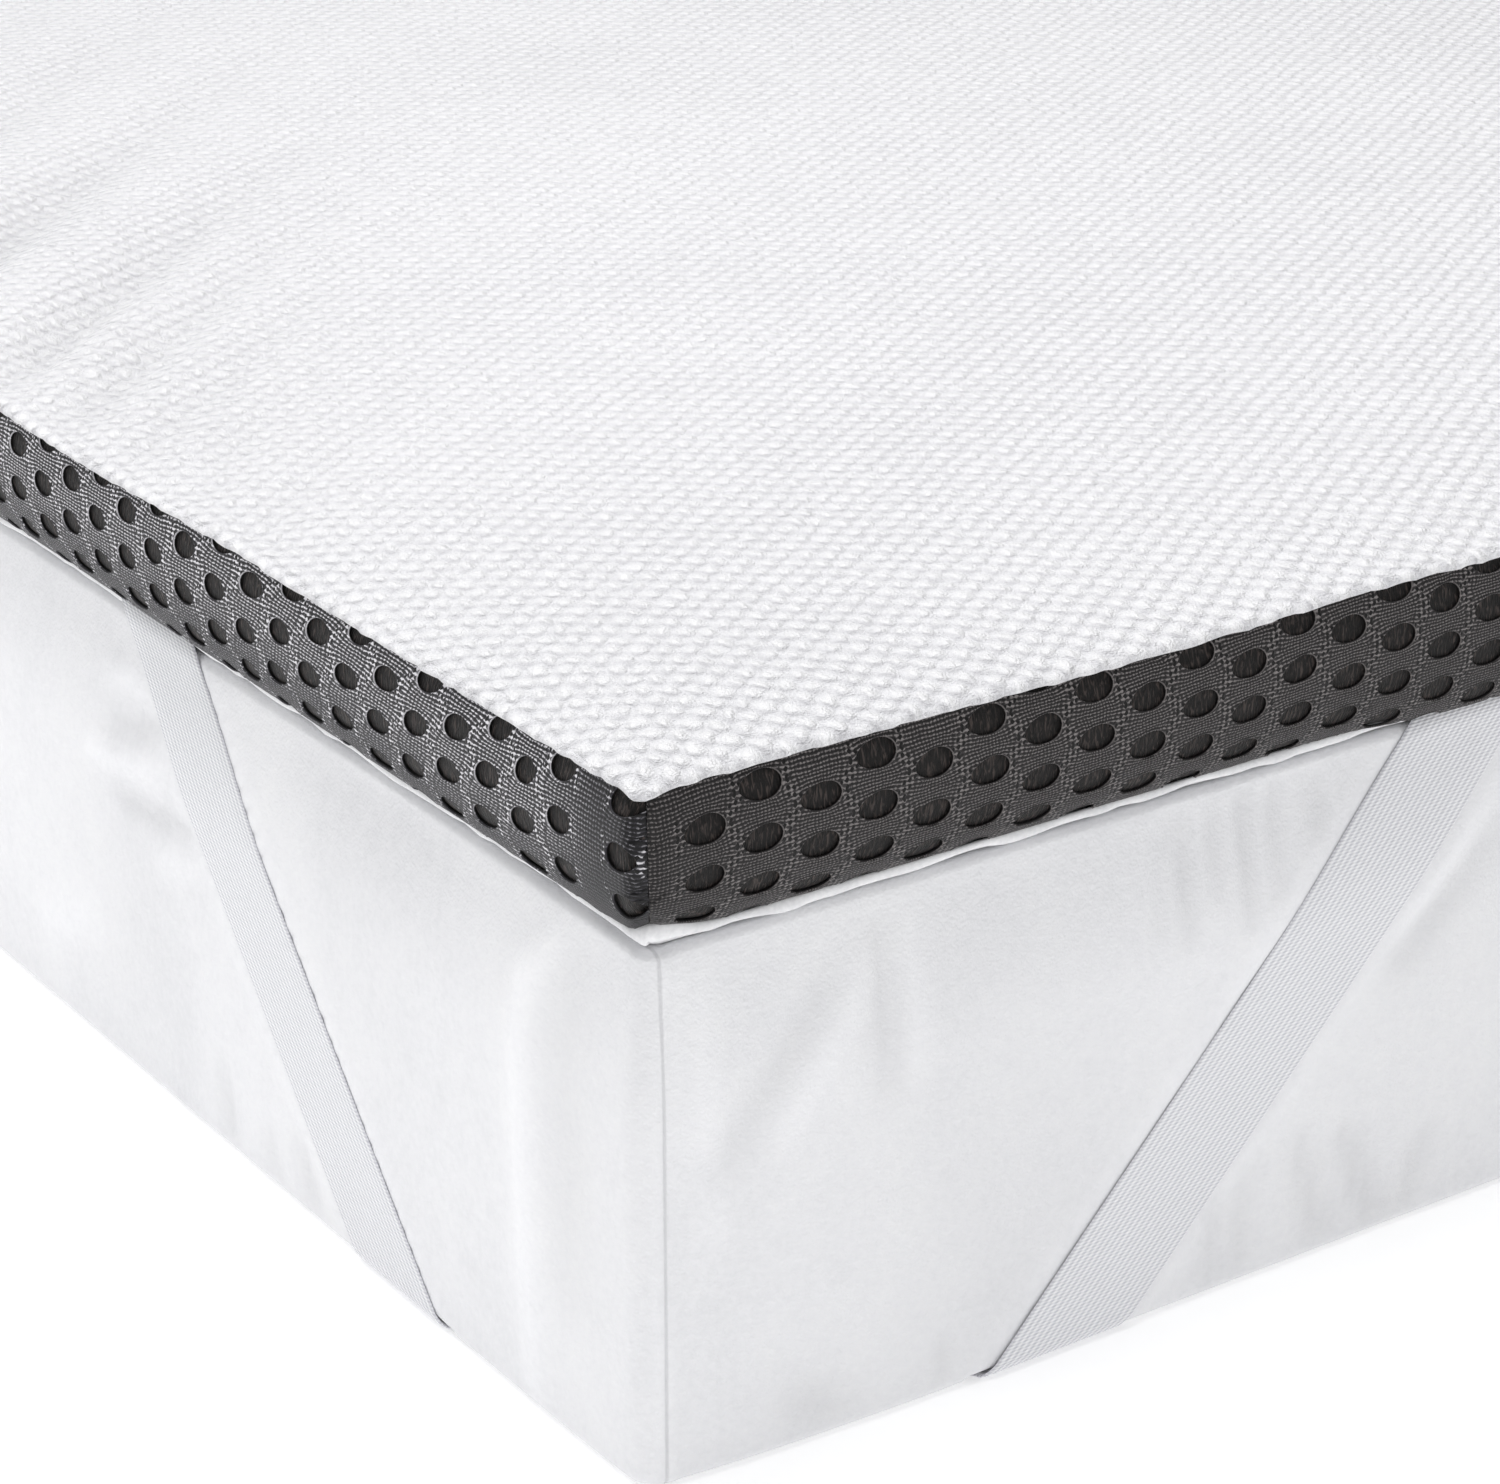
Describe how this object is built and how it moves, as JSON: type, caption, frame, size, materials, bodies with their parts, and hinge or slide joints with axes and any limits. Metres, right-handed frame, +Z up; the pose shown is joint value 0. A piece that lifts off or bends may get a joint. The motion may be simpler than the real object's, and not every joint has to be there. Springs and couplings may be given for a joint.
{
  "type": "mattress topper on mattress",
  "caption": "Mattress topper with a white bubble-knit top and a charcoal spacer-mesh border, held on a plain mattress by an elastic strap across each corner.",
  "frame": {"origin": "middle of the mattress's flat underside, on the surface that it lies on", "axes": "+Z up, +X along the short front side to the right, +Y along the long side towards the back"},
  "size_m": [1.4, 2, 0.2694],
  "materials": {
    "white_knit": "soft matte bubble knit",
    "white_lining": "matte plain cloth",
    "charcoal_mesh": "knitted spacer mesh with a slight sheen",
    "white_elastic": "ribbed woven elastic",
    "white_cover": "matte fine jersey"
  },
  "bodies": {
    "root": {"topper_pad": "white_knit", "bottom_panel": "white_lining", "border_front": "charcoal_mesh", "border_right": "charcoal_mesh", "border_back": "charcoal_mesh", "border_left": "charcoal_mesh", "strap_front_left": "white_elastic", "strap_front_right": "white_elastic", "strap_back_right": "white_elastic", "strap_back_left": "white_elastic", "mattress": "white_cover"}
  },
  "joints": []
}
